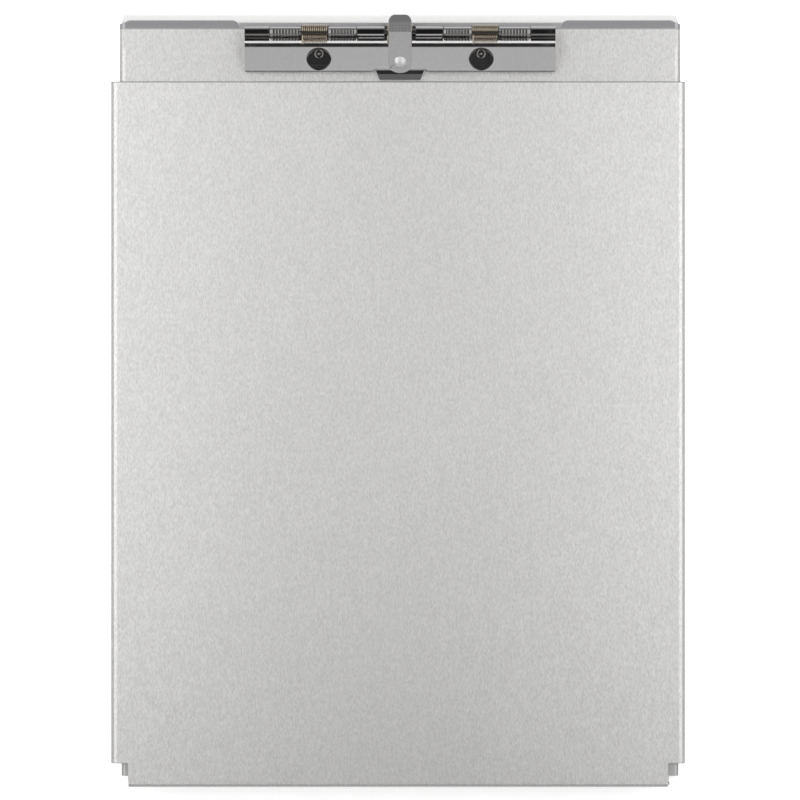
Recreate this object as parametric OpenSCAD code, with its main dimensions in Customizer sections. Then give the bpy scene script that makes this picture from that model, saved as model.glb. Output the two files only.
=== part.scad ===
// Storage clipboard box: a shallow folded tray under a hinged writing plate.
// A sprung clip with a thumb lever sits on a fixed deck at the top end.
// The box lies on its back: +Z out of the writing face, +Y towards the clip.
// The origin is under the middle of the overall length and width.

/* [Box] */
// Outer width of the writing plate
cover_w = 235; // [225:1:245]
// Overall length, from the lip at the bottom to the tray's foot at the top
total_len = 317.4; // [305:0.1:330]
// Height of the deck that carries the clip
deck_h = 25; // [20:1:40]
// Thickness of the aluminium sheet
sheet = 0.8; // [0.7:0.1:1.1]
// Outside radius of the tray's folds
fold_r = 1.6; // [1.4:0.1:2]
// How far the cover sits to the left of the tray's centre line
cover_offset = 0.8; // [0:0.1:1]

/* [Tray] */
// Gap between a tray wall and the cover's side flange
side_gap = 2.7; // [2.6:0.1:4]
// Height of the chamfer at the top of the top end wall
chamfer_h = 3; // [2.4:0.1:4]
// Gap in each bottom corner between a side wall and the end wall
corner_gap = 2.8; // [2:0.1:5]
// Width of the flange folded inwards along each side wall's rim
rim_flange = 4.5; // [3.5:0.1:4.6]
// How far those flanges lie below the deck's underside
rim_drop = 0.4; // [0.3:0.1:4]

/* [Deck] */
// Distance from the tray's foot back to the line where the ears fold down
fold_back = 6.9; // [6:0.1:9]
// Depth of the deck's side flanges
deck_flange = 10; // [8:0.5:14]
// How far the side flanges run past the fold line
flange_past = 1.8; // [0.5:0.1:3]
// How far the flat tab behind the clip runs past the fold line
tab_out = 2.1; // [1.8:0.1:2.4]
// Width of the flat tab past the clip's ends
tab_margin = 2.4; // [1:0.1:6]
// Length of an ear past the fold line, seen from the front
ear_out = 3.4; // [2.5:0.1:4.5]
// Corner radius of an ear, seen from the front
ear_r = 3; // [1:0.1:3.2]
// How far an ear stays inside the deck's side
ear_inset = 1.5; // [1.2:0.1:4]
// How far the deck reaches under the cover
overlap = 8; // [4:0.5:20]

/* [Cover] */
// Depth of the cover's side flanges
cover_flange = 12; // [8:0.5:18]
// Outside radius of the cover's side folds
cover_r = 2.6; // [1.6:0.1:3]
// Outside radius of the lip's fold
lip_r = 1.2; // [1.1:0.1:2]
// How far each end of the lip stays inside the cover's side
lip_inset = 7.1; // [6:0.1:12]
// Distance from the lip to the end of the side flanges
notch_len = 9.7; // [7:0.1:16]
// Radius of the notch's inner corner
notch_r = 0.8; // [0.4:0.1:2]
// Gap between the clip's tongue and the cover's top edge
tongue_gap = 0.6; // [0.4:0.1:2]

/* [Bottom hinge] */
// Height of the hinge pin above the tray's back
hinge_z = 12; // [9:0.5:14]
// Diameter of the hinge pin
hinge_pin_d = 2; // [1.6:0.1:2.4]
// Thickness of the hinge leaves
leaf_t = 0.8; // [0.6:0.1:1]
// Number of knuckles on both leaves together
knuckle_count = 17; // [9:2:25]

/* [Clip] */
// Length of the clip
clip_w = 127; // [124:1:140]
// Thickness of the clip's steel
clip_t = 0.8; // [0.6:0.1:0.9]
// Diameter of the clip's pin
clip_pin_d = 2.6; // [2:0.1:2.8]
// Height of the clip's pin above the deck
axis_h = 5.6; // [5:0.1:6.5]
// Distance from the fold line down to the clip's pin
axis_inset = 1.9; // [1.6:0.1:2.4]
// Distance from the pin to the flap's lower edge
flap_reach = 16.1; // [15:0.1:18]
// Slope of the flap's face
flap_tilt = 27.5; // [25:0.5:30]
// Distance from the pin to the flap's ridge
ridge_reach = 5.4; // [4.8:0.1:6.5]
// Height of the flap's lower edge above the deck
edge_clear = 1.7; // [1.3:0.1:2.1]
// Distance from the pin back to the base plate's rear bend
base_back = 2.95; // [2.8:0.05:3.1]
// Distance from the pin to the base plate's front edge
base_reach = 13.4; // [11.5:0.1:13.8]
// Length of the flap's knuckle at each end of the clip
end_knuckle = 10.2; // [8:0.1:12]
// Length of the flap's knuckles beside the centre spring
inner_knuckle = 11.2; // [9:0.1:12]
// Width of the opening for the centre spring
centre_window = 12.8; // [11.9:0.1:13.6]
// Pitch of the ribs round the base plate's knuckles
rib_pitch = 1.27; // [1:0.01:1.6]

/* [Holes and rivets] */
// Diameter of the two holes in the flap
hole_d = 10; // [8:0.1:11]
// Distance from the pin to the middle of those holes
hole_reach = 11; // [10.6:0.1:11.4]
// Spacing of the holes, and of the rivets under them
hole_pitch = 66.3; // [60:0.1:70]
// Distance from the pin to the base plate's rivets
rivet_reach = 8.5; // [7.5:0.1:9.5]
// Diameter of the base plate's rivet heads
rivet_head = 3.9; // [3.4:0.1:4.4]

/* [Tongue] */
// Width of the clamping tongue where it leaves the flap
tongue_w = 20.6; // [17:0.1:24]
// Width of the tongue at its end
tongue_end_w = 16.6; // [12:0.1:17]
// Distance from the pin to the tongue's upper bend
tongue_start = 14.9; // [14.5:0.1:15]
// Distance from the pin to the tongue's lower bend
tongue_bend = 16.8; // [16.4:0.1:17.4]
// Distance from the pin to the tongue's end
tongue_reach = 19.4; // [18.8:0.1:21]

/* [Lever] */
// Width of the thumb lever
lever_w = 9.4; // [8:0.1:10.4]
// Thickness of the thumb lever
lever_t = 1; // [0.8:0.1:1.2]
// Distance from the pin to the lever's lower end
lever_reach = 16.6; // [16:0.1:17]
// Distance from the pin to the lever's tip
lever_tip = 6.8; // [5:0.1:7.6]
// Distance behind the pin at which the tip bends back
lever_bend = 0.4; // [0:0.1:1.2]
// Slope of the lever's tip
tip_tilt = 8; // [0:1:20]
// Distance from the pin to the lever's rivet
lever_rivet_reach = 12; // [11.4:0.1:12.4]
// Diameter of the lever's domed rivet
lever_rivet_d = 5.5; // [4.5:0.1:6]

/* [Springs] */
// Outer diameter of the springs
spring_d = 6.5; // [6:0.1:6.6]
// Diameter of the spring wire
wire_d = 0.7; // [0.6:0.02:0.72]
// Length of each coil
spring_len = 10.5; // [10.4:0.1:11.5]
// Whole turns of each coil
spring_turns = 8; // [5:1:8]
// Distance from the clip's middle to each side spring
spring_x = 34.8; // [34:0.1:35.6]

/* [Hidden] */
$fn = 64;

// Clearances
pin_fit = 0.05;
rivet_fit = 0.05;
knuckle_gap = 0.25;
coil_gap = 0.35;
jaw_gap = 0.15;
rim_gap = 0.4;
leaf_gap = 0.3;
leg_gap = 0.12;

// Small details
tail_h = 0.5;
relief = 0.9;
rib_depth = 0.16;
rib_w = 0.75;
bend_steps = 6;
past = 1;

// The box, along Y
lip_y = -total_len / 2;
foot_y = total_len / 2;
fold_y = foot_y - fold_back;
hinge_bore_r = hinge_pin_d / 2 + pin_fit;
hinge_r = hinge_bore_r + leaf_t;
hinge_y = lip_y + sheet + hinge_r;
tray_end = hinge_y + hinge_r;
lip_low = hinge_z + hinge_r;

// The box, along X and Z
tray_w = cover_w - 2 * (sheet + side_gap);
deck_w = tray_w + 2 * sheet;
lip_w = cover_w - 2 * lip_inset;
end_wall_w = tray_w - 2 * (sheet + corner_gap);
rim = deck_h - sheet;
side_rim = rim - rim_drop;
cover_face = deck_h + sheet;
deck_r = fold_r + sheet;
rim_y = fold_y - sheet * tan(22.5);
wall_fold = [rim_y + chamfer_h, rim - chamfer_h];
chamfer_top = [rim_y + rim_gap, rim - rim_gap];

// The top end wall leans in from the foot's fold, whose outside reaches the overall length
foot_centre = [foot_y - fold_r, fold_r];
to_wall = wall_fold - foot_centre;
wall_turn = atan2(to_wall[1], to_wall[0]) - acos(fold_r / norm(to_wall));
foot_corner = foot_centre[0] + fold_r * (1 + sin(wall_turn)) / cos(wall_turn);

// The clip, in the plane across its pin: [distance behind the pin, height above the pin]
axis_y = fold_y - axis_inset;
axis_z = deck_h + axis_h;
knuckle_r = clip_pin_d / 2 + pin_fit + clip_t;
bore_r = clip_pin_d / 2 + pin_fit;
slope = tan(flap_tilt);
edge_z = -axis_h + edge_clear + clip_t * cos(flap_tilt);
ridge = [-ridge_reach, edge_z + (flap_reach - ridge_reach) * slope];
root = knuckle_r * [-0.7, -0.2];
foot_z = -axis_h + jaw_gap + clip_t;
shelf_z = at_slope(-lever_reach)[1] - leg_gap;
tongue_step = 0.35;
tongue_lap = 1.4;
tongue_r = [1, 0.4, 1];
notch_reach = tongue_start + relief / 2;
ridge_r = 1.6;
base_r = 1.3;
riser_h = 1.6;
riser = [base_back - (base_back - knuckle_r) * riser_h / axis_h, riser_h - axis_h];
window_cut = knuckle_r + coil_gap;
coil_cut = spring_d / 2 + coil_gap;
cover_top = axis_y - tongue_reach - tongue_gap;
deck_low = cover_top - overlap;
ear_bend = fold_r * tan(22.5);
flange_end = lip_y + notch_len;

// The clip, along its pin
window = spring_len + 2 * coil_gap;
flap_inner = [centre_window / 2, centre_window / 2 + inner_knuckle];
base_inner = [flap_inner[1] + knuckle_gap, spring_x - window / 2];
base_outer = [spring_x + window / 2, clip_w / 2 - end_knuckle - knuckle_gap];
flap_outer = [clip_w / 2 - end_knuckle, clip_w / 2];
tab_w = clip_w + 2 * tab_margin;

// The rivets and the lever's outline
shank_r = rivet_head / 3;
rolled_r = rivet_head / 12;
tail_d = 1.2 * rivet_head;
lever_shank_r = lever_rivet_d / 4;
lever_tail_r = 0.28 * lever_rivet_d;
lever_end_r = 0.65 * lever_w;
lever_tip_r = 0.33 * lever_w;

// The springs
coil_r = (spring_d - wire_d) / 2;
leg_end = ridge + [0.5, wire_d / 2 + leg_gap];
leg_angle = atan2(leg_end[1], leg_end[0]) - acos(coil_r / norm(leg_end));
foot_angle = 60;
coil_angle = 360 * spring_turns + leg_angle + foot_angle;
coil_pitch = (spring_len - wire_d) * 360 / coil_angle;
rings_per_turn = 8;
wire_sides = 6;

function unit(v) = v / norm(v);
function left(v) = [-v[1], v[0]];
function at_slope(y) = [y, ridge[1] - (-ridge_reach - y) * slope];

// Points of a rounded corner at b, between a and c
function corner(a, b, c, r) =
    let(u = unit(a - b), v = unit(c - b), half = acos(u * v) / 2, o = b + unit(u + v) * r / sin(half))
    let(s = b + u * r / tan(half) - o, e = b + v * r / tan(half) - o)
    let(from = atan2(s[1], s[0]), swing = (atan2(e[1], e[0]) - from + 540) % 360 - 180)
    [for (i = [0:bend_steps]) let(turn = from + swing * i / bend_steps) o + r * [cos(turn), sin(turn)]];

// A path with its inner corners rounded
function folded(p, r) = [
    p[0],
    for (i = [1:len(p) - 2]) each corner(p[i - 1], p[i], p[i + 1], r[i - 1]),
    p[len(p) - 1]
];

// The path's points moved to the left by t
function beside(p, t) = [for (i = [0:len(p) - 1])
    let(a = unit(i > 0 ? p[i] - p[i - 1] : p[1] - p[0]))
    let(b = i < len(p) - 1 ? unit(p[i + 1] - p[i]) : a)
    let(n = left(unit(a + b)))
    p[i] + n * t / (n * left(a))];

// A sheet of thickness t on the left of a path, seen on edge
module strip(path, t) {
    side = beside(path, t);
    polygon(concat(path, [for (i = [len(side) - 1:-1:0]) side[i]]));
}

// An outline in X and Z, drawn out along Y
module along_y(from, to) translate([0, to, 0]) rotate([90, 0, 0]) linear_extrude(to - from) children();

// An outline in Y and Z, drawn out along X
module along_x(from, to) translate([from, 0, 0]) rotate([90, 0, 90]) linear_extrude(to - from) children();

module both_sides() {
    children();
    mirror([1, 0, 0]) children();
}

// The tray, the deck, the hinge and the clip share the tray's centre line
module on_tray() translate([cover_offset, 0, 0]) children();
module on_clip() translate([cover_offset, axis_y, axis_z]) children();

// A knuckle of radius r with its bore, from one X to another
module knuckle(from, to, r, bore) {
    along_x(from, to) difference() {
        circle(r);
        circle(bore);
    }
}

module dome(r, h) {
    ball = (r * r + h * h) / (2 * h);
    intersection() {
        translate([0, 0, h - ball]) sphere(ball);
        cylinder(r = r, h = h);
    }
}

// Places its children on the flap's face, with +Z along the face's normal
module on_slope(reach) translate([0, -reach, at_slope(-reach)[1]]) rotate([flap_tilt, 0, 0]) children();

module tray() {
    edge = tray_w / 2;
    walls = [[rim_flange - edge, side_rim], [-edge, side_rim], [-edge, 0],
        [edge, 0], [edge, side_rim], [edge - rim_flange, side_rim]];
    top_end = [[rim_y, 0], [foot_corner, 0], wall_fold, chamfer_top];
    low_end = [[tray_end, side_rim - sheet - rim_gap], [tray_end, 0], [flange_end, 0]];
    end_section = folded(top_end, [fold_r, fold_r]);
    color("silver") on_tray() {
        intersection() {
            along_y(tray_end, foot_y) strip(folded(walls, [fold_r, fold_r, fold_r, fold_r]), sheet);
            along_x(-edge, edge) polygon(concat([[tray_end, rim], [tray_end, 0]], end_section));
        }
        along_x(sheet / 2 - edge, edge - sheet / 2) strip(end_section, sheet);
        along_x(-end_wall_w / 2, end_wall_w / 2) strip(folded(low_end, [fold_r]), sheet);
    }
}

// The outline of the deck's top edge from the front: one rounded ear
module ear_outline() {
    low = tab_w / 2;
    high = deck_w / 2 - ear_inset;
    end = fold_y + ear_out;
    translate([low, fold_y - overlap]) square([high - low, overlap + ear_out - ear_r]);
    translate([low + ear_r, fold_y]) square([high - low - 2 * ear_r, end - fold_y]);
    for (x = [low + ear_r, high - ear_r]) translate([x, end - ear_r]) circle(ear_r);
}

module clip_plate() {
    side = [[deck_w / 2, deck_h - deck_flange], [deck_w / 2, deck_h],
        [-deck_w / 2, deck_h], [-deck_w / 2, deck_h - deck_flange]];
    ear = [[fold_y + 2 * ear_out, deck_h - 2 * ear_out], [fold_y, deck_h], [fold_y - overlap, deck_h]];
    flat_w = deck_w - 2 * deck_r;
    color("silver") on_tray() difference() {
        union() {
            difference() {
                along_y(deck_low, fold_y + flange_past) strip(folded(side, [deck_r, deck_r]), sheet);
                translate([-flat_w / 2, fold_y - ear_bend, rim - past])
                    cube([flat_w, flange_past + ear_bend + past, sheet + 2 * past]);
            }
            translate([-tab_w / 2, fold_y - overlap, rim]) cube([tab_w, overlap + tab_out, sheet]);
            both_sides() intersection() {
                along_x(tab_w / 2, deck_w / 2) strip(folded(ear, [fold_r]), sheet);
                linear_extrude(2 * deck_h) ear_outline();
            }
        }
        for (x = [-1, 1]) translate([x * hole_pitch / 2, axis_y - rivet_reach, rim - past])
            cylinder(r = shank_r + rivet_fit, h = sheet + 2 * past);
    }
}

module cover_plate() {
    side = [[cover_w / 2, cover_face - cover_flange], [cover_w / 2, cover_face],
        [-cover_w / 2, cover_face], [-cover_w / 2, cover_face - cover_flange]];
    lip = [[flange_end + past, cover_face], [lip_y, cover_face], [lip_y, lip_low]];
    color("gainsboro") {
        along_y(flange_end, cover_top) strip(folded(side, [cover_r, cover_r]), sheet);
        along_x(-lip_w / 2, lip_w / 2) strip(folded(lip, [lip_r]), sheet);
        both_sides() translate([lip_w / 2, flange_end - notch_r, deck_h]) linear_extrude(sheet) difference() {
            square([notch_r, 2 * notch_r]);
            translate([notch_r, 0]) circle(notch_r);
        }
    }
}

// One leaf of the bottom hinge: every second knuckle, from the first one given, and its plate
module leaf(first, face, from, to) {
    pitch = end_wall_w / knuckle_count;
    plate = face < hinge_y ? face : face - leaf_t;
    for (i = [first:2:knuckle_count - 1]) translate([-end_wall_w / 2 + i * pitch, 0, 0]) {
        translate([0, hinge_y, hinge_z])
            knuckle(knuckle_gap / 2, pitch - knuckle_gap / 2, hinge_r, hinge_bore_r);
        difference() {
            translate([knuckle_gap / 2, plate, min(from, hinge_z)])
                cube([pitch - knuckle_gap, leaf_t, abs(from - hinge_z)]);
            translate([0, hinge_y, hinge_z]) rotate([0, 90, 0]) cylinder(r = hinge_bore_r, h = pitch);
        }
    }
    translate([-end_wall_w / 2, plate, min(from, to)]) cube([end_wall_w, leaf_t, abs(to - from)]);
}

module hinge_leaf_tray() color("lightgray") on_tray()
    leaf(0, tray_end, hinge_z - hinge_r - leaf_gap, fold_r + leaf_gap);

module hinge_leaf_cover() color("lightgray") on_tray()
    leaf(1, lip_y + sheet, hinge_z + hinge_r + leaf_gap, cover_face - lip_r - leaf_gap);

module hinge_pin() color("gray") on_tray() translate([-end_wall_w / 2, hinge_y, hinge_z])
    rotate([0, 90, 0]) cylinder(d = hinge_pin_d, h = end_wall_w);

// Raised rings round a knuckle, from one X to another
module ribs(from, to) {
    count = floor((to - from) / rib_pitch);
    start = (from + to - count * rib_pitch) / 2;
    for (i = [0:count - 1]) translate([start + (i + 0.5) * rib_pitch, 0, 0])
        knuckle(-rib_w / 2, rib_w / 2, knuckle_r, bore_r);
}

// The clip's base: a flat plate on the deck with a low riser, and curled knuckles
module clip_base() {
    low = [[-base_reach, -axis_h], [base_back, -axis_h], riser];
    high = [low[0], low[1], [knuckle_r, 0]];
    color("silver") on_clip() difference() {
        union() {
            along_x(-clip_w / 2, clip_w / 2) strip(folded(low, [base_r]), clip_t);
            both_sides() for (span = [base_inner, base_outer]) {
                along_x(span[0], span[1]) strip(folded(high, [base_r]), clip_t);
                knuckle(span[0], span[1], knuckle_r - rib_depth, bore_r);
                ribs(span[0], span[1]);
            }
        }
        for (x = [-1, 1]) translate([x * hole_pitch / 2, -rivet_reach, -axis_h - past])
            cylinder(r = shank_r + rivet_fit, h = clip_t + 2 * past);
    }
}

// The flap: smooth knuckles, a roll over the ridge and a sloping face
module clip_flap() {
    face = [[-flap_reach, edge_z], ridge, root];
    color("gainsboro") on_clip() difference() {
        union() {
            difference() {
                along_x(-clip_w / 2, clip_w / 2) strip(folded(face, [ridge_r]), -clip_t);
                both_sides() {
                    for (span = [base_inner, base_outer])
                        translate([span[0] - knuckle_gap, -window_cut, -axis_h])
                            cube([span[1] - span[0] + 2 * knuckle_gap, 2 * window_cut, 2 * axis_h]);
                    translate([spring_x - window / 2, -coil_cut, -axis_h])
                        cube([window, 2 * coil_cut, 2 * axis_h]);
                }
                translate([-centre_window / 2, -coil_cut, -axis_h])
                    cube([centre_window, 2 * coil_cut, 2 * axis_h]);
                translate([-tongue_w / 2, -flap_reach - past, -axis_h])
                    cube([tongue_w, flap_reach + past - tongue_start, 2 * axis_h]);
                translate([-tongue_w / 2 - relief, -flap_reach - past, -axis_h])
                    cube([tongue_w + 2 * relief, flap_reach + past - notch_reach, 2 * axis_h]);
            }
            both_sides() for (span = [flap_inner, flap_outer]) knuckle(span[0], span[1], knuckle_r, bore_r);
            tongue();
        }
        for (x = [-1, 1]) translate([x * hole_pitch / 2, 0, 0]) on_slope(hole_reach)
            cylinder(d = hole_d, h = 4 * clip_t, center = true);
        lever_rivet_hole();
    }
}

// The tongue steps down from the flap's face, clear of the lever's end, and slopes to the deck
module tongue() {
    path = [at_slope(-tongue_start + tongue_lap), at_slope(-tongue_start),
        [-tongue_start - tongue_step, shelf_z], [-tongue_bend, shelf_z], [-tongue_reach, foot_z]];
    intersection() {
        along_x(-tongue_w / 2, tongue_w / 2) strip(folded(path, tongue_r), clip_t);
        translate([0, 0, -2 * axis_h]) linear_extrude(4 * axis_h) polygon([[-tongue_w / 2, 0],
            [-tongue_w / 2, -tongue_start], [-tongue_end_w / 2, -tongue_reach],
            [tongue_end_w / 2, -tongue_reach], [tongue_w / 2, -tongue_start], [tongue_w / 2, 0]]);
    }
}

module clip_pin() color("gray") on_clip() translate([-clip_w / 2 + pin_fit, 0, 0]) rotate([0, 90, 0])
    cylinder(d = clip_pin_d, h = clip_w - 2 * pin_fit);

// The lever lies on the flap's face, passes over the pin and ends in a thumb tip
module thumb_lever() {
    bend = at_slope(lever_bend);
    tip = [lever_tip, bend[1] + (lever_tip - lever_bend) * tan(tip_tilt)];
    color("darkgray") on_clip() difference() {
        intersection() {
            along_x(-lever_w / 2, lever_w / 2)
                strip(folded([at_slope(-lever_reach), bend, tip], [ridge_r]), lever_t);
            translate([0, 0, -2 * axis_h]) linear_extrude(6 * axis_h) lever_outline();
        }
        lever_rivet_hole();
    }
}

module lever_rivet_hole() on_slope(lever_rivet_reach)
    cylinder(r = lever_shank_r + rivet_fit, h = 4 * lever_t, center = true);

// The lever from the front: a shallow round end at the bottom and a rounder tip
module lever_outline() {
    flat_w = lever_w - 2 * lever_tip_r;
    length = lever_reach + lever_tip;
    intersection() {
        translate([-lever_w / 2, -lever_reach]) square([lever_w, length - lever_tip_r]);
        union() {
            translate([0, -lever_reach + lever_end_r]) circle(lever_end_r);
            translate([-lever_w / 2, -lever_reach + lever_end_r]) square([lever_w, length]);
        }
    }
    translate([-flat_w / 2, lever_tip - 2 * lever_tip_r]) square([flat_w, 2 * lever_tip_r]);
    for (x = [-1, 1]) translate([x * flat_w / 2, lever_tip - lever_tip_r]) circle(lever_tip_r);
}

module lever_rivet() color("white") on_clip() on_slope(lever_rivet_reach) {
    translate([0, 0, lever_t]) dome(lever_rivet_d / 2, lever_rivet_d / 4);
    translate([0, 0, -clip_t]) cylinder(r = lever_shank_r, h = clip_t + lever_t);
    translate([0, 0, -clip_t - tail_h]) cylinder(r = lever_tail_r, h = tail_h);
}

// A hollow rivet through the base plate and the deck, with a rolled rim and a small centre
module clip_rivet(side) color("silver") on_clip() translate([side * hole_pitch / 2, -rivet_reach, -axis_h]) {
    translate([0, 0, clip_t]) cylinder(d = rivet_head, h = rolled_r);
    translate([0, 0, clip_t + rolled_r]) {
        rotate_extrude() translate([rivet_head / 2 - rolled_r, 0]) circle(rolled_r);
        dome(rivet_head / 5, rivet_head / 7);
    }
    translate([0, 0, -sheet]) cylinder(r = shank_r, h = sheet + clip_t);
    translate([0, 0, -sheet - clip_t]) cylinder(d = tail_d, h = clip_t);
}

// One torsion spring, centred on the pin: its first leg lies on the flap's ridge,
// its last one on the base plate.
function coil_out(a) = [0, cos(leg_angle - a), sin(leg_angle - a)];
function coil_point(a) = [-spring_len / 2 + wire_d / 2 + coil_pitch * a / 360, 0, 0] + coil_r * coil_out(a);
function coil_way(a) = unit([coil_pitch / 360, coil_r * sin(leg_angle - a) * PI / 180,
    -coil_r * cos(leg_angle - a) * PI / 180]);
coil_steps = ceil(coil_angle / 360 * rings_per_turn);
first_leg = norm(leg_end - [coil_point(0)[1], coil_point(0)[2]]);
last_leg = (axis_h - clip_t - wire_d / 2 - leg_gap - coil_r * sin(foot_angle)) / cos(foot_angle);
function wire_ring(centre, out, way) = [for (i = [0:wire_sides - 1])
    centre + wire_d / 2 * (cos(i * 360 / wire_sides) * cross(way, out) + sin(i * 360 / wire_sides) * out)];
spring_rings = [
    wire_ring(coil_point(0) - first_leg * coil_way(0), coil_out(0), coil_way(0)),
    for (i = [0:coil_steps]) let(a = coil_angle * i / coil_steps)
        wire_ring(coil_point(a), coil_out(a), coil_way(a)),
    let(a = coil_angle) wire_ring(coil_point(a) + last_leg * coil_way(a), coil_out(a), coil_way(a))
];

module spring(x) {
    rings = len(spring_rings);
    n = wire_sides;
    sides = [for (r = [0:rings - 2], i = [0:n - 1]) each [
        [r * n + i, r * n + (i + 1) % n, (r + 1) * n + i],
        [r * n + (i + 1) % n, (r + 1) * n + (i + 1) % n, (r + 1) * n + i]]];
    last = (rings - 1) * n;
    ends = [for (i = [1:n - 2]) each [[0, i + 1, i], [last, last + i, last + i + 1]]];
    color("darkkhaki") on_clip() translate([x, 0, 0])
        polyhedron([for (ring = spring_rings) each ring], concat(sides, ends));
}

// The least distance between wire points that lie more than half a turn apart
self_gap = min([for (i = [0:len(spring_rings) - 1 - rings_per_turn / 2])
    for (j = [i + rings_per_turn / 2:len(spring_rings) - 1])
        for (p = spring_rings[i], q = spring_rings[j]) norm(p - q)]);
echo(spring_self_gap = self_gap, spring_wire = wire_d);

tray();
clip_plate();
cover_plate();
hinge_leaf_tray();
hinge_leaf_cover();
hinge_pin();
clip_base();
clip_flap();
clip_pin();
spring(-spring_x);  // spring_left
spring(0);  // spring_centre
spring(spring_x);  // spring_right
thumb_lever();
lever_rivet();
clip_rivet(-1);  // clip_rivet_left
clip_rivet(1);  // clip_rivet_right
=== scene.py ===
import math

import bpy
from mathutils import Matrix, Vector


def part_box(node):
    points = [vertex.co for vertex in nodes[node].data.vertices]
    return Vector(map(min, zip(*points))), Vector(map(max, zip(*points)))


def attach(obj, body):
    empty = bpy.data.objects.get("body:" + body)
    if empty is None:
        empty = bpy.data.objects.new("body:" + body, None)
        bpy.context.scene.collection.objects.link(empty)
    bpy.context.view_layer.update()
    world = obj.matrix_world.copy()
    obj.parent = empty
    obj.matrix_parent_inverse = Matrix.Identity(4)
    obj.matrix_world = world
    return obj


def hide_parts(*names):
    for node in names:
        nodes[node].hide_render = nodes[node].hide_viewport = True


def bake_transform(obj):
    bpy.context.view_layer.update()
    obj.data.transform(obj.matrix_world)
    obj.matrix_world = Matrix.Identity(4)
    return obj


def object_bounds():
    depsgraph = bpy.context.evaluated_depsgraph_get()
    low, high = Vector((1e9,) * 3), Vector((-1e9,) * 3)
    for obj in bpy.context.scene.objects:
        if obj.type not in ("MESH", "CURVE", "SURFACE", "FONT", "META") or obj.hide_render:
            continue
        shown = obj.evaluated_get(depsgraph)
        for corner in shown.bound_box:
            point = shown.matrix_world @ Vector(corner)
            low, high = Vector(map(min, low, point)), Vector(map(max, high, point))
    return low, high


# Storage clipboard box, seen square from above.
# Metres, +Z out of the writing face, +Y towards the clip.

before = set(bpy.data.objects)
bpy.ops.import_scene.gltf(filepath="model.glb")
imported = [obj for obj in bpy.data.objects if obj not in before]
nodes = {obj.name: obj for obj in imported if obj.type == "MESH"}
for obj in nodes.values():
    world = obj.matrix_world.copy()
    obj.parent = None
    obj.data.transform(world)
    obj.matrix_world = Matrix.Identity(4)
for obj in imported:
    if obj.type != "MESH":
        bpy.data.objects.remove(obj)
cadLow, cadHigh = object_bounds()
print("frame loaded:", len(nodes), "pieces")


# Camera: square to the writing face and far off, as in the photograph
cameraSettings = {"aimX": 0.00078, "aimY": -0.00033, "faceZ": 0.0258, "distance": 2.5,
                  "fieldWidth": 0.3272, "sensor": 36, "farthest": 20}


def placeCamera(settings):
    data = bpy.data.cameras.new("studioCamera")
    data.sensor_width = settings["sensor"]
    data.lens = settings["sensor"] * settings["distance"] / settings["fieldWidth"]
    data.clip_end = settings["farthest"]
    camera = bpy.data.objects.new("studioCamera", data)
    camera.location = (settings["aimX"], settings["aimY"],
                       settings["faceZ"] + settings["distance"])
    bpy.context.scene.collection.objects.link(camera)
    bpy.context.scene.camera = camera


placeCamera(cameraSettings)
bpy.context.scene.view_settings.view_transform = "Standard"


# Small helpers for node trees
def grey(level):
    return (level, level, level, 1)


def connect(tree, value, socket):
    if isinstance(value, bpy.types.NodeSocket):
        tree.links.new(value, socket)
    else:
        socket.default_value = value


def addNode(tree, kind, inputs=None, **settings):
    node = tree.nodes.new(kind)
    for name, value in settings.items():
        setattr(node, name, value)
    for name, value in (inputs or {}).items():
        connect(tree, value, node.inputs[name])
    return node


def mathNode(tree, operation, first, second=0.5):
    return addNode(tree, "ShaderNodeMath", {0: first, 1: second}, operation=operation).outputs[0]


def rangeNode(tree, value, low, high, toLow, toHigh, smooth=True):
    return addNode(tree, "ShaderNodeMapRange", {
        "Value": value, "From Min": low, "From Max": high, "To Min": toLow, "To Max": toHigh},
        interpolation_type="SMOOTHSTEP" if smooth else "LINEAR").outputs["Result"]


def riseNode(tree, value, start, width):
    return rangeNode(tree, value, start, start + width, 0, 1)


def fallNode(tree, value, start, width):
    return rangeNode(tree, value, start, start + width, 1, 0)


def mixColour(tree, mask, first, second):
    return addNode(tree, "ShaderNodeMix", {"Factor": mask, "A": first, "B": second},
                   data_type="RGBA").outputs["Result"]


def mixValue(tree, mask, first, second):
    return addNode(tree, "ShaderNodeMix", {"Factor": mask, "A": first, "B": second},
                   data_type="FLOAT").outputs["Result"]


def splitParts(tree, vector):
    return addNode(tree, "ShaderNodeSeparateXYZ", {"Vector": vector}).outputs


def objectParts(tree):
    return splitParts(tree, addNode(tree, "ShaderNodeTexCoord").outputs["Object"])


def besideNode(tree, at, centre):
    return mathNode(tree, "ABSOLUTE", mathNode(tree, "SUBTRACT", at["X"], centre))


def lengthNode(tree, x=0.0, y=0.0, z=0.0):
    vector = addNode(tree, "ShaderNodeCombineXYZ", {"X": x, "Y": y, "Z": z}).outputs[0]
    return addNode(tree, "ShaderNodeVectorMath", {0: vector}, operation="LENGTH").outputs["Value"]


def newGroup(name, inputs, outputs):
    tree = bpy.data.node_groups.new(name, "ShaderNodeTree")
    for socket, value in inputs:
        made = tree.interface.new_socket(socket, in_out="INPUT", socket_type="NodeSocketFloat")
        made.default_value = value
    for socket in outputs:
        tree.interface.new_socket(socket, in_out="OUTPUT", socket_type="NodeSocketFloat")
    given = tree.nodes.new("NodeGroupInput").outputs
    return tree, given, tree.nodes.new("NodeGroupOutput").inputs


def useGroup(tree, group, **inputs):
    node = tree.nodes.new("ShaderNodeGroup")
    node.node_tree = group
    for name, value in inputs.items():
        connect(tree, value, node.inputs[name])
    return node.outputs


def newMaterial(name, constants):
    material = bpy.data.materials.new(name)
    material.use_nodes = True
    shader = material.node_tree.nodes["Principled BSDF"]
    for socket, value in constants.items():
        shader.inputs[socket].default_value = value
    return material, material.node_tree, shader


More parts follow.
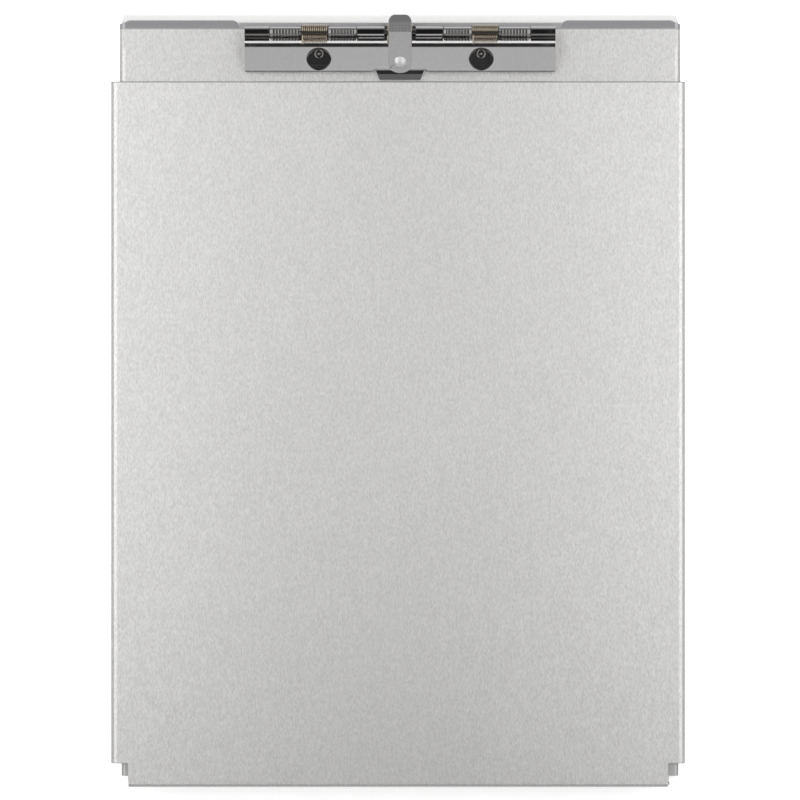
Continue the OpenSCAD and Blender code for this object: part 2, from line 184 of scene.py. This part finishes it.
# Grain of brushed sheet: strokes run along Y on the faces, and up and down on the end walls
grainSettings = {"endFace": 0.55, "endFaceFade": 0.30, "strokeDetail": 2.0, "mottleScale": 0.13,
                 "mottleDetail": 3.0, "mottleTwist": 0.6, "roughness": 0.6}


def buildStrokes(settings):
    tree, given, out = newGroup("brushStrokes", [("Width", 0.0004), ("Length", 0.0015),
                                                 ("Seed", 0.0)], ["Stroke", "Mottle"])
    place = addNode(tree, "ShaderNodeTexCoord").outputs
    at, facing = splitParts(tree, place["Object"]), splitParts(tree, place["Normal"])
    endFace = riseNode(tree, mathNode(tree, "ABSOLUTE", facing["Y"]), settings["endFace"],
                       settings["endFaceFade"])
    along = mixValue(tree, endFace, at["Y"], at["Z"])
    across = mixValue(tree, endFace, at["Z"], at["Y"])
    fine = addNode(tree, "ShaderNodeCombineXYZ", {
        "X": mathNode(tree, "DIVIDE", at["X"], given["Width"]),
        "Y": mathNode(tree, "DIVIDE", along, given["Length"]),
        "Z": mathNode(tree, "DIVIDE", across, given["Width"])}).outputs[0]
    stroke = addNode(tree, "ShaderNodeTexNoise", {
        "Vector": fine, "W": given["Seed"], "Scale": 1.0, "Detail": settings["strokeDetail"],
        "Roughness": settings["roughness"]}, noise_dimensions="4D")
    mottle = addNode(tree, "ShaderNodeTexNoise", {
        "Vector": fine, "W": given["Seed"], "Scale": settings["mottleScale"],
        "Detail": settings["mottleDetail"], "Roughness": settings["roughness"],
        "Distortion": settings["mottleTwist"]}, noise_dimensions="4D")
    connect(tree, stroke.outputs["Fac"], out["Stroke"])
    connect(tree, mottle.outputs["Fac"], out["Mottle"])
    return tree


# Light handling marks: soft smudges that change only the gloss
smudgeSettings = {"detail": 4.0, "roughness": 0.55, "start": 0.42, "fade": 0.30}


def buildSmudges(settings):
    tree, given, out = newGroup("handlingSmudges", [("Size", 0.03), ("Seed", 0.0)], ["Smudge"])
    place = addNode(tree, "ShaderNodeTexCoord").outputs["Object"]
    scaled = addNode(tree, "ShaderNodeVectorMath", {
        0: place, "Scale": mathNode(tree, "DIVIDE", 1.0, given["Size"])},
        operation="SCALE").outputs["Vector"]
    cloud = addNode(tree, "ShaderNodeTexNoise", {
        "Vector": scaled, "W": given["Seed"], "Scale": 1.0, "Detail": settings["detail"],
        "Roughness": settings["roughness"]}, noise_dimensions="4D").outputs["Fac"]
    connect(tree, riseNode(tree, cloud, settings["start"], settings["fade"]), out["Smudge"])
    return tree


# A band between two places along Y, and only beyond a distance from the middle: painted shade for
# the cover's top edge, the flap's lower edge, the folded ears, the tray's bottom corners and the
# coils' crests
def buildShadeBand():
    tree, given, out = newGroup("shadeBand", [
        ("From", 0.0), ("To", 1.0), ("Beyond", -1.0), ("Soft", 0.0001), ("Centre", 0.0)],
        ["Band"])
    at = objectParts(tree)
    beside = besideNode(tree, at, given["Centre"])
    lowEnd = mathNode(tree, "ADD", given["From"], given["Soft"])
    highStart = mathNode(tree, "SUBTRACT", given["To"], given["Soft"])
    sideEnd = mathNode(tree, "ADD", given["Beyond"], given["Soft"])
    low = rangeNode(tree, at["Y"], given["From"], lowEnd, 0, 1)
    high = rangeNode(tree, at["Y"], highStart, given["To"], 1, 0)
    side = rangeNode(tree, beside, given["Beyond"], sideEnd, 0, 1)
    connect(tree, mathNode(tree, "MULTIPLY", mathNode(tree, "MULTIPLY", low, high), side),
            out["Band"])
    return tree


brushStrokes = buildStrokes(grainSettings)
handlingSmudges = buildSmudges(smudgeSettings)
shadeBand = buildShadeBand()


# Painted shade: lays the band's dark colour over the surface colour
def paintShadeBand(tree, colour, band):
    mask = useGroup(tree, shadeBand, **band["place"])["Band"]
    return mixColour(tree, mask, colour, band["colour"])


# Aluminium sheet of the tray, the deck and the cover
sheetSettings = {"light": (0.94, 0.937, 0.925, 1), "dark": (0.70, 0.697, 0.685, 1),
                 "roughness": 0.47, "roughSpread": 0.03, "strokeWidth": 0.0004,
                 "strokeLength": 0.0013, "strokeShare": 0.85, "contrast": 0.17,
                 "bump": 0.000012, "smudgeSize": 0.05, "smudgeGloss": 0.012}
trayTone = {"light": (0.96, 0.957, 0.95, 1), "dark": (0.80, 0.797, 0.79, 1)}
deckTone = {"light": (0.87, 0.867, 0.855, 1), "dark": (0.65, 0.647, 0.635, 1)}
hingeGloss = {"roughness": 0.35}
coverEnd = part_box("cover_plate")[1][1]
# Painted shade: the tray is darker at its bottom corners, beside the cover's flanges, as if in
# shadow
trayCornerShade = {"place": {"From": -1.0, "To": -0.1488, "Beyond": 0.105},
                "colour": (0.60, 0.60, 0.595, 1)}
# Painted shade: the deck's folded-down ears beyond the clip are darker, for the darker light they
# face
deckEarShade = {"place": {"From": 0.1513, "To": 1.0, "Beyond": -1.0}, "colour": (0.48, 0.48, 0.49, 1)}
# Painted shadow: a dark line along the cover's top edge, where it meets the deck
coverEdgeShadow = {"place": {"From": coverEnd - 0.0004, "To": 1.0, "Beyond": -1.0},
                "colour": (0.30, 0.30, 0.29, 1)}


def sheetMaterial(name, settings, seed=0.0):
    roughness, spread = settings["roughness"], settings["roughSpread"]
    material, tree, shader = newMaterial(name, {"Metallic": 1.0, "Roughness": roughness})
    strokes = useGroup(tree, brushStrokes, Width=settings["strokeWidth"],
                       Length=settings["strokeLength"], Seed=seed)
    smudge = useGroup(tree, handlingSmudges, Size=settings["smudgeSize"], Seed=seed)["Smudge"]
    share = settings["strokeShare"]
    both = mathNode(tree, "ADD", mathNode(tree, "MULTIPLY", strokes["Stroke"], share),
                    mathNode(tree, "MULTIPLY", strokes["Mottle"], 1 - share))
    tone = rangeNode(tree, both, 0.5 - settings["contrast"], 0.5 + settings["contrast"], 0, 1,
                     smooth=False)
    colour = mixColour(tree, tone, settings["dark"], settings["light"])
    if "band" in settings:
        colour = paintShadeBand(tree, colour, settings["band"])
    connect(tree, colour, shader.inputs["Base Color"])
    rough = mathNode(tree, "ADD", rangeNode(tree, tone, 0, 1, roughness + spread,
                                            roughness - spread, smooth=False),
                     mathNode(tree, "MULTIPLY", smudge, settings["smudgeGloss"]))
    connect(tree, rough, shader.inputs["Roughness"])
    bump = addNode(tree, "ShaderNodeBump", {"Height": strokes["Stroke"],
                                            "Distance": settings["bump"], "Strength": 1.0})
    connect(tree, bump.outputs["Normal"], shader.inputs["Normal"])
    return material


# Bright plate of the clip, with painted shade: darker where the sheet is curled round the pin,
# darker on the cut walls of the flap's two holes, and a painted shadow line along the flap's lower
# edge
plateFinish = {"smudgeSize": 0.008, "mottleSize": 0.0002, "wornGloss": 1.8}
plateSettings = {"light": (0.74, 0.73, 0.73, 1), "dark": (0.66, 0.65, 0.65, 1), "roughness": 0.07,
                 "centreX": 0.0008,
                 # painted shadow: a dark line along the flap's lower edge, left and right of the
                 # middle
                 "band": {"place": {"From": 0.1336, "To": 0.1343, "Beyond": 0.0113,
                                    "Centre": 0.0008}, "colour": grey(0.22)}}
# Painted shade on the knuckles: all round on the outer ones, only on the upper side of the inner
# ones
curlShadeSettings = {"colour": (0.30, 0.295, 0.29, 1), "pinY": 0.1499, "pinZ": 0.0306,
                "reach": 0.0023, "end": 0.1512, "fade": 0.0003,
                "brightX": 0.0165, "brightFade": 0.001, "brightY": 0.1487}
# Painted shade: the cut walls of the flap's two holes are nearly black
boreShadeSettings = {"colour": grey(0.12), "x": 0.03315, "y": 0.1389, "z": 0.03007, "tilt": 27.5,
                "reach": 0.00508, "fade": 0.00004, "aboveZ": 0.0268, "aboveFade": 0.0002}


def curlShadeMask(tree, curl, at, beside):
    reach = lengthNode(tree, y=mathNode(tree, "SUBTRACT", at["Y"], curl["pinY"]),
                       z=mathNode(tree, "SUBTRACT", at["Z"], curl["pinZ"]))
    curled = mathNode(tree, "MULTIPLY", fallNode(tree, reach, curl["reach"], curl["fade"]),
                      fallNode(tree, at["Y"], curl["end"], curl["fade"]))
    outer = riseNode(tree, beside, curl["brightX"], curl["brightFade"])
    upper = riseNode(tree, at["Y"], curl["brightY"], curl["fade"])
    return mathNode(tree, "MULTIPLY", curled, mathNode(tree, "MAXIMUM", outer, upper))


def boreShadeMask(tree, bore, at, beside):
    tilt = math.radians(bore["tilt"])
    alongY = mathNode(tree, "MULTIPLY", mathNode(tree, "SUBTRACT", at["Y"], bore["y"]),
                      math.cos(tilt))
    alongZ = mathNode(tree, "MULTIPLY", mathNode(tree, "SUBTRACT", at["Z"], bore["z"]),
                      math.sin(tilt))
    reach = lengthNode(tree, x=mathNode(tree, "SUBTRACT", beside, bore["x"]),
                       y=mathNode(tree, "ADD", alongY, alongZ))
    onFlap = riseNode(tree, at["Z"], bore["aboveZ"], bore["aboveFade"])
    return mathNode(tree, "MULTIPLY", onFlap, fallNode(tree, reach, bore["reach"], bore["fade"]))


def plateMaterial(name, settings, curl=None, bore=None, seed=0.0):
    roughness = settings["roughness"]
    material, tree, shader = newMaterial(name, {"Metallic": 1.0, "Roughness": roughness})
    smudge = useGroup(tree, handlingSmudges, Size=plateFinish["smudgeSize"], Seed=seed)["Smudge"]
    mottle = useGroup(tree, brushStrokes, Width=plateFinish["mottleSize"],
                      Length=plateFinish["mottleSize"], Seed=seed)["Mottle"]
    colour = mixColour(tree, mottle, settings["dark"], settings["light"])
    if curl and bore:
        at = objectParts(tree)
        beside = besideNode(tree, at, settings["centreX"])
        colour = mixColour(tree, curlShadeMask(tree, curl, at, beside), colour, curl["colour"])
        colour = mixColour(tree, boreShadeMask(tree, bore, at, beside), colour, bore["colour"])
    if "band" in settings:
        colour = paintShadeBand(tree, colour, settings["band"])
    connect(tree, colour, shader.inputs["Base Color"])
    connect(tree, rangeNode(tree, smudge, 0, 1, roughness, roughness * plateFinish["wornGloss"],
                            smooth=False), shader.inputs["Roughness"])
    return material


# Steel of the thumb lever: polished on the flap, duller on the thumb rest above the bend,
# where it is finely knurled in rows of raised points
leverSettings = {"light": (0.70, 0.69, 0.69, 1), "dark": (0.60, 0.59, 0.59, 1),
                 "rest": grey(0.34), "crest": grey(0.62), "crestReach": 0.7,
                 "polished": 0.15, "dull": 0.34, "mottleWidth": 0.0002, "mottleLength": 0.0003,
                 "restY": 0.1495, "restFade": 0.0006, "knurlEnd": 0.1534, "knurlFade": 0.0004,
                 "knurlPitch": 0.0012, "knurlHeight": 0.000006}


def leverMaterial(name, settings, seed=7.0):
    material, tree, shader = newMaterial(name, {"Metallic": 1.0,
                                                "Roughness": settings["polished"]})
    mottle = useGroup(tree, brushStrokes, Width=settings["mottleWidth"],
                      Length=settings["mottleLength"], Seed=seed)["Mottle"]
    at = objectParts(tree)
    rest = riseNode(tree, at["Y"], settings["restY"], settings["restFade"])
    turn = 2 * math.pi / settings["knurlPitch"]
    ridges = [mathNode(tree, "SINE", mathNode(tree, "MULTIPLY",
                                              mathNode(tree, side, at["X"], at["Y"]), turn))
              for side in ("ADD", "SUBTRACT")]
    knurled = mathNode(tree, "MULTIPLY", rest, fallNode(tree, at["Y"], settings["knurlEnd"],
                                                        settings["knurlFade"]))
    height = mathNode(tree, "MULTIPLY", mathNode(tree, "MULTIPLY", ridges[0], ridges[1]), knurled)
    colour = mixColour(tree, mottle, settings["dark"], settings["light"])
    colour = mixColour(tree, rest, colour, settings["rest"])
    colour = mixColour(tree, riseNode(tree, height, 0.0, settings["crestReach"]), colour,
                       settings["crest"])
    connect(tree, colour, shader.inputs["Base Color"])
    connect(tree, rangeNode(tree, rest, 0, 1, settings["polished"], settings["dull"],
                            smooth=False), shader.inputs["Roughness"])
    bump = addNode(tree, "ShaderNodeBump", {"Height": height, "Strength": 1.0,
                                            "Distance": settings["knurlHeight"]})
    connect(tree, bump.outputs["Normal"], shader.inputs["Normal"])
    return material


# Pins, rivets and spring wire; the wire is yellow-passivated, with a painted dark band on the
# coils' crests
pinSettings = {"light": grey(0.56), "dark": grey(0.46), "roughness": 0.25}
clipPinSettings = {"light": grey(0.20), "dark": grey(0.12), "roughness": 0.20}
leverRivetSettings = {"light": grey(0.76), "dark": grey(0.68), "roughness": 0.34}
# Painted shade: the clip's rivets, seen through the flap's holes, are darker for the shade under
# the flap
plateRivetSettings = {"light": (0.40, 0.39, 0.38, 1), "dark": (0.26, 0.255, 0.25, 1),
                      "roughness": 0.10}
wireSettings = {"light": (0.62, 0.55, 0.42, 1), "dark": (0.42, 0.37, 0.28, 1), "roughness": 0.13,
                # painted shade: dark band along the coils' crests, for the dark overhead they
                # reflect
                "band": {"place": {"From": 0.1481, "To": 0.1505, "Beyond": -1.0, "Soft": 0.0006},
                         "colour": (0.07, 0.06, 0.045, 1)}}

aluminiumTray = sheetMaterial("aluminiumTray", {**sheetSettings, **trayTone,
                                                "band": trayCornerShade})
aluminiumDeck = sheetMaterial("aluminiumDeck", {**sheetSettings, **deckTone, "band": deckEarShade})
aluminiumCover = sheetMaterial("aluminiumCover", {**sheetSettings, "band": coverEdgeShadow})
hingeAluminium = sheetMaterial("hingeAluminium", {**sheetSettings, **hingeGloss}, seed=4.0)
clipPlate = plateMaterial("clipPlate", plateSettings, curlShadeSettings, boreShadeSettings)
leverSteel = leverMaterial("leverSteel", leverSettings)
pinSteel = plateMaterial("pinSteel", pinSettings, seed=2.0)
rivetPlate = plateMaterial("rivetPlate", leverRivetSettings, seed=3.0)
springWire = plateMaterial("springWire", wireSettings, seed=5.0)
darkRivet = plateMaterial("darkRivet", plateRivetSettings, seed=6.0)
darkPin = plateMaterial("darkPin", clipPinSettings, seed=8.0)
print("materials made")


# Which finish goes on which CAD piece, and how wide its edges are broken
finishes = {
    "tray": (aluminiumTray, 0.00015), "clip_plate": (aluminiumDeck, 0.0002),
    "cover_plate": (aluminiumCover, 0.0003), "hinge_leaf_tray": (hingeAluminium, 0.00008),
    "hinge_leaf_cover": (hingeAluminium, 0.00008), "hinge_pin": (pinSteel, 0.0001),
    "clip_base": (clipPlate, 0.00006), "clip_flap": (clipPlate, 0.0001),
    "clip_pin": (darkPin, 0.0001), "thumb_lever": (leverSteel, 0.00012),
    "lever_rivet": (rivetPlate, 0.00005), "clip_rivet_left": (darkRivet, 0.00005),
    "clip_rivet_right": (darkRivet, 0.00005),
}
freeEdges = ("clip_base", "clip_flap", "thumb_lever")  # their short faces would hold the bevel back
edgeSettings = {"joinWithin": 0.00001, "flatWithin": 0.5, "segments": 3, "sharperThan": 40,
                "faceWeight": 100}


def finishPiece(piece, material, edge, settings, clamp=True):
    piece.data.materials.clear()
    piece.data.materials.append(material)
    weld = piece.modifiers.new("joinedFaces", "WELD")
    weld.merge_threshold = settings["joinWithin"]
    flat = piece.modifiers.new("wholeFaces", "DECIMATE")
    flat.decimate_type = "DISSOLVE"
    flat.angle_limit = math.radians(settings["flatWithin"])
    bevel = piece.modifiers.new("brokenEdges", "BEVEL")
    bevel.width = edge
    bevel.segments = settings["segments"]
    bevel.limit_method = "ANGLE"
    bevel.angle_limit = math.radians(settings["sharperThan"])
    bevel.use_clamp_overlap = clamp
    normals = piece.modifiers.new("flatFaces", "WEIGHTED_NORMAL")
    normals.mode = "FACE_AREA"
    normals.weight = settings["faceWeight"]
    normals.keep_sharp = True


for name, (material, edge) in finishes.items():
    finishPiece(nodes[name], material, edge, edgeSettings, clamp=name not in freeEdges)
print("CAD pieces finished")


# Torsion springs: close-wound wire round the clip's pin, one leg on the flap and one on the
# base plate
springSettings = {"centreX": 0.0008, "pinY": 0.1499, "pinZ": 0.0306, "spread": 0.0348,
                  "length": 0.0105, "outer": 0.0062, "wire": 0.00052, "turns": 12,
                  "legReach": 0.0049, "legLift": 0.0024, "footAngle": 60, "plateTop": 0.0048,
                  "wireSides": 12, "stepsPerTurn": 28}


def wirePath(settings):
    radius = (settings["outer"] - settings["wire"]) / 2
    reach, lift = -settings["legReach"], settings["legLift"] + settings["wire"] / 2
    start = math.atan2(lift, reach) - math.acos(radius / math.hypot(reach, lift))
    foot = math.radians(settings["footAngle"])
    total = 2 * math.pi * settings["turns"] + start + foot
    half = (settings["length"] - settings["wire"]) / 2
    steps = settings["turns"] * settings["stepsPerTurn"]
    coil = []
    for i in range(steps + 1):
        angle = start - total * i / steps
        coil.append(Vector((-half + 2 * half * i / steps, radius * math.cos(angle),
                            radius * math.sin(angle))))
    leg = Vector((-half, reach, lift))
    drop = settings["plateTop"] - settings["wire"] / 2 - radius * math.sin(foot)
    stand = coil[-1] + Vector((0, -math.sin(foot), -math.cos(foot))) * drop / math.cos(foot)
    return [leg, (leg + coil[0]) / 2] + coil + [stand]


def sweepWire(name, path, radius, sides, material):
    vertices, faces = [], []
    up = Vector((1, 0, 0))
    for i, point in enumerate(path):
        way = (path[min(i + 1, len(path) - 1)] - path[max(i - 1, 0)]).normalized()
        side = way.cross(up).normalized()
        up = side.cross(way).normalized()
        for k in range(sides):
            angle = 2 * math.pi * k / sides
            vertices.append(point + radius * (math.cos(angle) * side + math.sin(angle) * up))
    for i in range(len(path) - 1):
        for k in range(sides):
            a, b = i * sides + k, i * sides + (k + 1) % sides
            faces.append((a, a + sides, b + sides, b))
    last = (len(path) - 1) * sides
    faces += [tuple(range(sides)), tuple(last + k for k in reversed(range(sides)))]
    mesh = bpy.data.meshes.new(name)
    mesh.from_pydata(vertices, [], faces)
    mesh.polygons.foreach_set("use_smooth", [len(f) == 4 for f in faces])
    mesh.materials.append(material)
    mesh.update()
    piece = bpy.data.objects.new(name, mesh)
    bpy.context.scene.collection.objects.link(piece)
    return piece


def buildSprings(settings):
    path = wirePath(settings)
    for side, node in ((-1, "spring_left"), (0, "spring_centre"), (1, "spring_right")):
        place = Vector((settings["centreX"] + side * settings["spread"], settings["pinY"],
                        settings["pinZ"]))
        piece = sweepWire(node + "_coil", [p + place for p in path], settings["wire"] / 2,
                          settings["wireSides"], springWire)
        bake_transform(piece)
        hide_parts(node)


buildSprings(springSettings)
print("springs wound")


# Thin front lip of the clip's base plate, on the deck under the flap:
# it shows dark through the flap's holes
lipSettings = {"centreX": 0.0008, "inner": 0.0125, "outer": 0.0610, "back": 0.1366,
               "front": 0.1343, "deckZ": 0.0250, "lift": 0.00002, "thick": 0.0004,
               "edge": 0.00012}


def buildLips(settings):
    for side, name in ((-1, "clip_base_lip_left"), (1, "clip_base_lip_right")):
        left, right = sorted(settings["centreX"] + side * settings[end]
                             for end in ("inner", "outer"))
        corners = [(x, y, settings["deckZ"] + z) for z in (settings["lift"], settings["thick"])
                   for x, y in ((left, settings["front"]), (right, settings["front"]),
                                (right, settings["back"]), (left, settings["back"]))]
        walls = [(k, (k + 1) % 4, 4 + (k + 1) % 4, 4 + k) for k in range(4)]
        mesh = bpy.data.meshes.new(name)
        mesh.from_pydata(corners, [], [(3, 2, 1, 0), (4, 5, 6, 7)] + walls)
        piece = bpy.data.objects.new(name, mesh)
        bpy.context.scene.collection.objects.link(piece)
        finishPiece(piece, clipPlate, settings["edge"], edgeSettings)
        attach(piece, "tray")


buildLips(lipSettings)
print("base lips laid")


# Floor: plain and pale to the eye. In reflections it is bright behind the clip end, lighter
# near the object and dim further off
floorSettings = {"size": 8.0, "drop": 0.0001, "colour": grey(0.86), "glow": 0.25,
                 "rimLevel": 1.1, "rimStart": -0.010, "rimStartFade": 0.004, "rimEnd": 0.012,
                 "rimFade": 0.010, "nearLevel": 0.75, "nearEnd": 0.07, "nearFade": 0.04,
                 "farLevel": 0.38}


def mirroredLevel(tree, settings):
    at = objectParts(tree)
    besideX = mathNode(tree, "SUBTRACT", mathNode(tree, "ABSOLUTE", at["X"]), cadHigh[0])
    besideY = mathNode(tree, "SUBTRACT", mathNode(tree, "ABSOLUTE", at["Y"]), cadHigh[1])
    away = mathNode(tree, "MAXIMUM", besideX, besideY)
    behind = mathNode(tree, "SUBTRACT", at["Y"], cadHigh[1])
    started = riseNode(tree, behind, settings["rimStart"], settings["rimStartFade"])
    rim = rangeNode(tree, behind, settings["rimEnd"], settings["rimEnd"] + settings["rimFade"],
                    settings["rimLevel"] - settings["nearLevel"], 0)
    plain = rangeNode(tree, away, settings["nearEnd"], settings["nearEnd"] + settings["nearFade"],
                      settings["nearLevel"], settings["farLevel"])
    return mathNode(tree, "ADD", mathNode(tree, "MULTIPLY", started, rim), plain)


def layFloor(settings):
    half = settings["size"] / 2
    mesh = bpy.data.meshes.new("studioFloor")
    mesh.from_pydata([(-half, -half, 0), (half, -half, 0), (half, half, 0), (-half, half, 0)],
                     [], [(0, 1, 2, 3)])
    floor = bpy.data.objects.new("studioFloor", mesh)
    floor.location.z = -settings["drop"]
    bpy.context.scene.collection.objects.link(floor)
    material = bpy.data.materials.new("paleFloor")
    material.use_nodes = True
    tree = material.node_tree
    tree.nodes.remove(tree.nodes["Principled BSDF"])
    matte = addNode(tree, "ShaderNodeBsdfDiffuse", {"Color": settings["colour"]}).outputs[0]
    glow = addNode(tree, "ShaderNodeEmission", {"Strength": settings["glow"]}).outputs[0]
    seen = addNode(tree, "ShaderNodeAddShader", {0: matte, 1: glow}).outputs[0]
    mirrored = addNode(tree, "ShaderNodeEmission", {"Strength": mirroredLevel(tree, settings)})
    paths = addNode(tree, "ShaderNodeLightPath").outputs
    shown = addNode(tree, "ShaderNodeMixShader", {0: paths["Is Camera Ray"], 1: matte, 2: seen})
    shown = addNode(tree, "ShaderNodeMixShader", {
        0: paths["Is Glossy Ray"], 1: shown.outputs[0], 2: mirrored.outputs[0]})
    connect(tree, shown.outputs[0], tree.nodes["Material Output"].inputs["Surface"])
    mesh.materials.append(material)


# Room round the object: dark overhead, a pale card in front and a bright strip low behind.
# The camera sees it white, and matt surfaces get an even ambient light
roomSettings = {"overhead": 0.03, "frontCard": 0.59, "frontStart": 0.635, "frontFull": 0.80,
                "backStrip": 1.2, "stripStart": 0.90, "stripFade": 0.02, "backLow": 0.38,
                "lowStart": 0.965, "lowFade": 0.010, "ambient": 0.85, "seen": 1.0}


def buildRoom(settings):
    world = bpy.data.worlds.new("studio")
    bpy.context.scene.world = world
    world.use_nodes = True
    tree = world.node_tree
    way = splitParts(tree, addNode(tree, "ShaderNodeTexCoord").outputs["Generated"])
    front = rangeNode(tree, mathNode(tree, "MULTIPLY", way["Y"], -1.0), settings["frontStart"],
                      settings["frontFull"], 0, settings["frontCard"], smooth=False)
    strip = mathNode(tree, "MULTIPLY",
                     riseNode(tree, way["Y"], settings["stripStart"], settings["stripFade"]),
                     fallNode(tree, way["Y"], settings["lowStart"], settings["lowFade"]))
    strip = mathNode(tree, "MULTIPLY", strip, settings["backStrip"])
    low = rangeNode(tree, way["Y"], settings["lowStart"],
                    settings["lowStart"] + settings["lowFade"], 0, settings["backLow"])
    level = mathNode(tree, "ADD", mathNode(tree, "ADD", front, strip),
                     mathNode(tree, "ADD", low, settings["overhead"]))
    paths = addNode(tree, "ShaderNodeLightPath").outputs
    around = mixValue(tree, paths["Is Diffuse Ray"], level, settings["ambient"])
    shown = mixValue(tree, paths["Is Camera Ray"], around, settings["seen"])
    background = tree.nodes["Background"]
    background.inputs["Color"].default_value = grey(1)
    connect(tree, shown, background.inputs["Strength"])


# Two large soft lamps, left and right, a little towards the clip end
lampSettings = {"beside": 0.344, "towardsClip": 0.265, "height": 0.382, "size": (0.62, 1.06),
                "leftPower": 2.85, "rightPower": 2.73}


def hangLamps(settings):
    for side, name, power in ((-1, "lampLeft", settings["leftPower"]),
                              (1, "lampRight", settings["rightPower"])):
        data = bpy.data.lights.new(name, "AREA")
        data.shape = "RECTANGLE"
        data.size, data.size_y = settings["size"]
        data.energy = power
        lamp = bpy.data.objects.new(name, data)
        lamp.location = (side * settings["beside"], settings["towardsClip"], settings["height"])
        aim = Vector((-side * settings["beside"], 0, -settings["height"]))
        lamp.rotation_euler = aim.to_track_quat("-Z", "X").to_euler()
        lamp.visible_camera = False
        bpy.context.scene.collection.objects.link(lamp)


layFloor(floorSettings)
buildRoom(roomSettings)
hangLamps(lampSettings)
print("studio lit")
